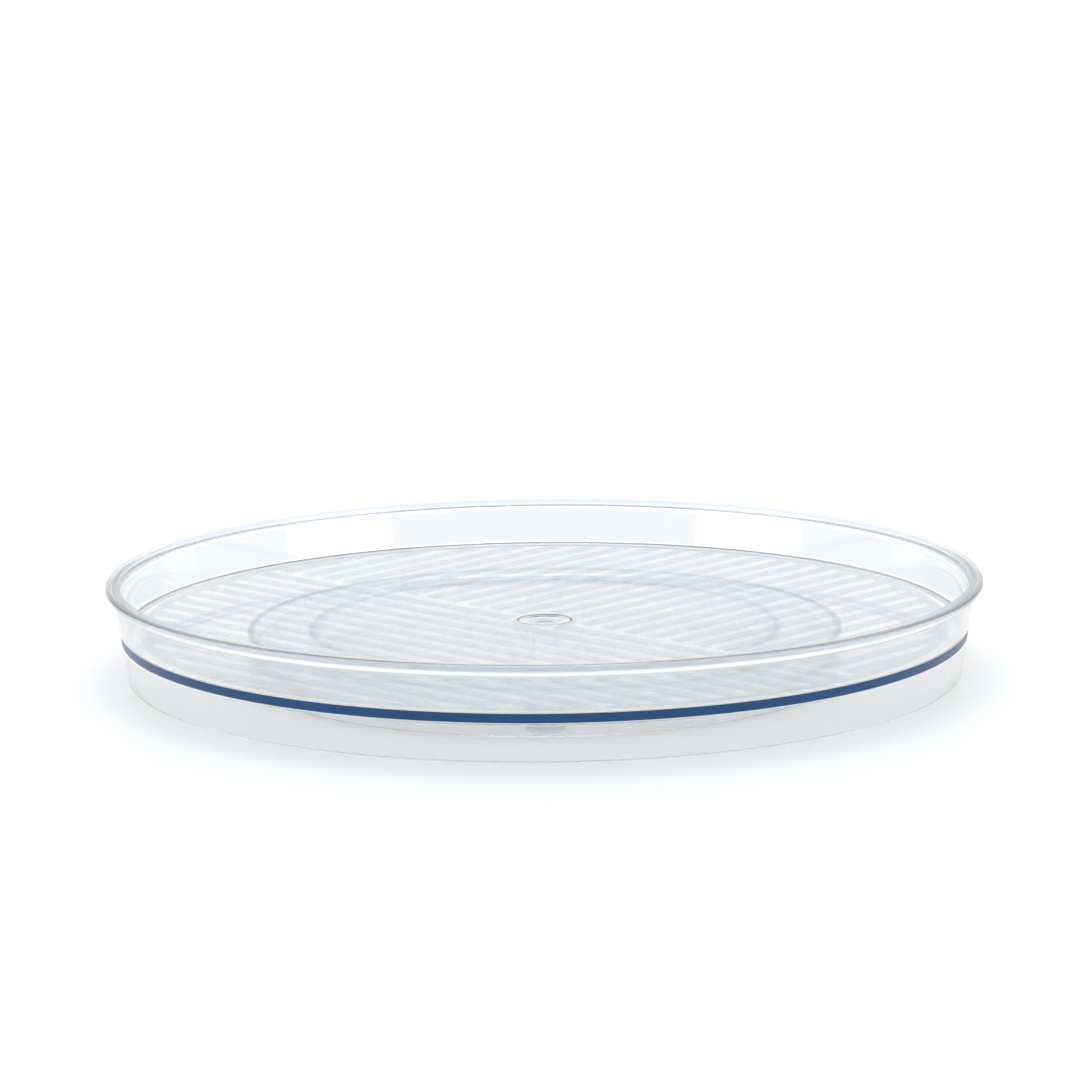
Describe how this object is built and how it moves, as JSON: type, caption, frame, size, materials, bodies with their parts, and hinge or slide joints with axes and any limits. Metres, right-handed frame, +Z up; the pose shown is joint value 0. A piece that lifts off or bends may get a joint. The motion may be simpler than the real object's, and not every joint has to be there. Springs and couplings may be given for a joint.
{
  "type": "lazy susan turntable",
  "caption": "Round shallow clear-plastic tray with a raised wall, a navy band and a striped grip mat, turning on caged balls over a low ring-walled base.",
  "frame": {"origin": "on the axis of rotation, at the level of the surface that the feet stand on", "axes": "+Z up along the axis of rotation, out of the open side of the tray; +X to the right and -Y towards the viewer"},
  "size_m": [0.28, 0.28, 0.0322],
  "materials": {
    "clear_plastic": "clear, polished, very slightly blue",
    "navy_plastic": "solid navy, satin gloss",
    "grip_strip": "soft, translucent, lightly frosted",
    "natural_plastic": "translucent, uncoloured",
    "ball_acrylic": "clear, polished",
    "foot_rubber": "clear soft pad"
  },
  "bodies": {
    "standing_base": {"base": "clear_plastic", "centre_pin": "clear_plastic", "pin_washer": "natural_plastic", "foot_1": "foot_rubber", "foot_2": "foot_rubber", "foot_3": "foot_rubber", "foot_4": "foot_rubber", "foot_5": "foot_rubber", "foot_6": "foot_rubber"},
    "turning_tray": {"tray": "clear_plastic", "accent_band": "navy_plastic", "grip_mat": "grip_strip"},
    "rolling_cage": {"ball_cage": "natural_plastic", "ball_01": "ball_acrylic", "ball_02": "ball_acrylic", "ball_03": "ball_acrylic", "ball_04": "ball_acrylic", "ball_05": "ball_acrylic", "ball_06": "ball_acrylic", "ball_07": "ball_acrylic", "ball_08": "ball_acrylic", "ball_09": "ball_acrylic", "ball_10": "ball_acrylic", "ball_11": "ball_acrylic", "ball_12": "ball_acrylic", "ball_13": "ball_acrylic", "ball_14": "ball_acrylic", "ball_15": "ball_acrylic", "ball_16": "ball_acrylic"}
  },
  "joints": [
    {"name": "tray_spin", "type": "hinge", "parent": "standing_base", "child": "turning_tray", "pos_m": [0, 0, 0.0113], "axis": [0, 0, 1], "continuous": true},
    {"name": "cage_spin", "type": "hinge", "parent": "standing_base", "child": "rolling_cage", "pos_m": [0, 0, 0.0113], "axis": [0, 0, 1], "continuous": true}
  ],
  "couplings": [
    {"joint": "cage_spin", "follows": "tray_spin", "ratio": 0.5}
  ]
}
